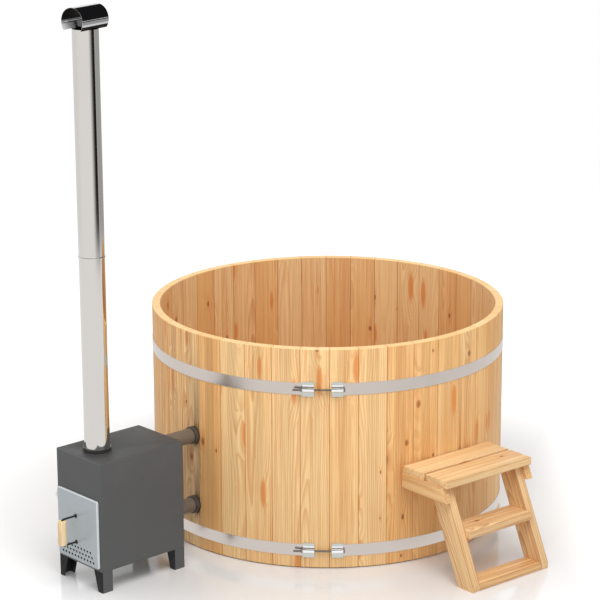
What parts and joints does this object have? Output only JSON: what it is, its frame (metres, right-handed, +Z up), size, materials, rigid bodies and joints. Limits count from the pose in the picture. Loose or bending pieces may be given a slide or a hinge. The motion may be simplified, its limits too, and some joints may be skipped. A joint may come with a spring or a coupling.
{
  "type": "wooden hot tub",
  "caption": "Round wooden hot tub of upright staves drawn together by flat steel hoops, with an outside wood stove, tall flue with rolled cap, water pipes and steps.",
  "frame": {"origin": "on the ground, at the tub's axis, under the middle floor bearer", "axes": "+Z up along the tub's axis; the stove stands towards -X with its door facing -X; the steps stand near -Y"},
  "size_m": [2.6327, 2.2838, 2.7805],
  "materials": {
    "wall_wood": "planed softwood, oiled, satin",
    "floor_wood": "planed softwood",
    "bench_wood": "planed softwood",
    "step_wood": "planed softwood, oiled, satin",
    "hoop_steel": "brushed stainless",
    "bolt_steel": "plated, satin",
    "pipe_steel": "dark, glossy",
    "collar_steel": "dark, satin",
    "stove_paint": "heat-proof paint, satin",
    "fire_iron": "raw, sooty",
    "door_paint": "pale blue-grey, satin",
    "handle_black": "black, satin",
    "grip_wood": "turned hardwood, oiled",
    "flue_steel": "polished stainless",
    "cap_steel": "mirror-polished stainless",
    "seal_rubber": "matte"
  },
  "bodies": {
    "tub_and_stove": {"staves": "wall_wood", "floor_boards": "floor_wood", "floor_bearers": "floor_wood", "upper_hoop_band": "hoop_steel", "lower_hoop_band": "hoop_steel", "hoop_lugs": "hoop_steel", "hoop_bolts": "bolt_steel", "hoop_nuts": "bolt_steel", "hoop_washers": "bolt_steel", "bench_slats": "bench_wood", "bench_arms": "bench_wood", "bench_posts": "bench_wood", "bench_wall_blocks": "bench_wood", "drain_body": "hoop_steel", "drain_gasket": "seal_rubber", "drain_back_nut": "bolt_steel", "water_pipes": "pipe_steel", "outer_collars": "collar_steel", "stove_collars": "collar_steel", "outer_gaskets": "seal_rubber", "inner_collars": "bolt_steel", "inner_gaskets": "seal_rubber", "stove_casing": "stove_paint", "stove_firebox": "fire_iron", "firebox_baffle": "fire_iron", "grate_ledges": "fire_iron", "stove_grate": "fire_iron", "ash_pan": "fire_iron", "stove_legs": "stove_paint", "flue_socket": "stove_paint", "casing_knuckles": "stove_paint", "hinge_pins": "bolt_steel", "chimney_lower": "flue_steel", "chimney_upper": "flue_steel", "chimney_cap": "cap_steel", "cap_straps": "bolt_steel", "cap_rivets": "bolt_steel", "step_top_boards": "step_wood", "step_tread": "step_wood", "step_bottom_bar": "step_wood", "step_legs": "step_wood", "step_brackets": "step_wood", "step_cleats": "step_wood", "step_ledger": "step_wood", "step_screws": "bolt_steel"},
    "stove_door": {"stove_door": "door_paint", "door_liner": "fire_iron", "door_handle_bar": "handle_black", "door_grip": "grip_wood", "handle_nuts": "bolt_steel", "door_knuckles": "stove_paint", "door_catch": "bolt_steel"},
    "drain_plug": {"drain_plug": "seal_rubber", "drain_pull_ring": "bolt_steel"}
  },
  "joints": [
    {"name": "stove_door_hinge", "type": "hinge", "parent": "tub_and_stove", "child": "stove_door", "pos_m": [-1.6091, 0.1764, 0.29], "axis": [0, 0, -1], "range_deg": [0, 115]},
    {"name": "drain_plug_lift", "type": "slide", "parent": "tub_and_stove", "child": "drain_plug", "axis": [0, 0, 1], "range_m": [0, 0.08]}
  ]
}
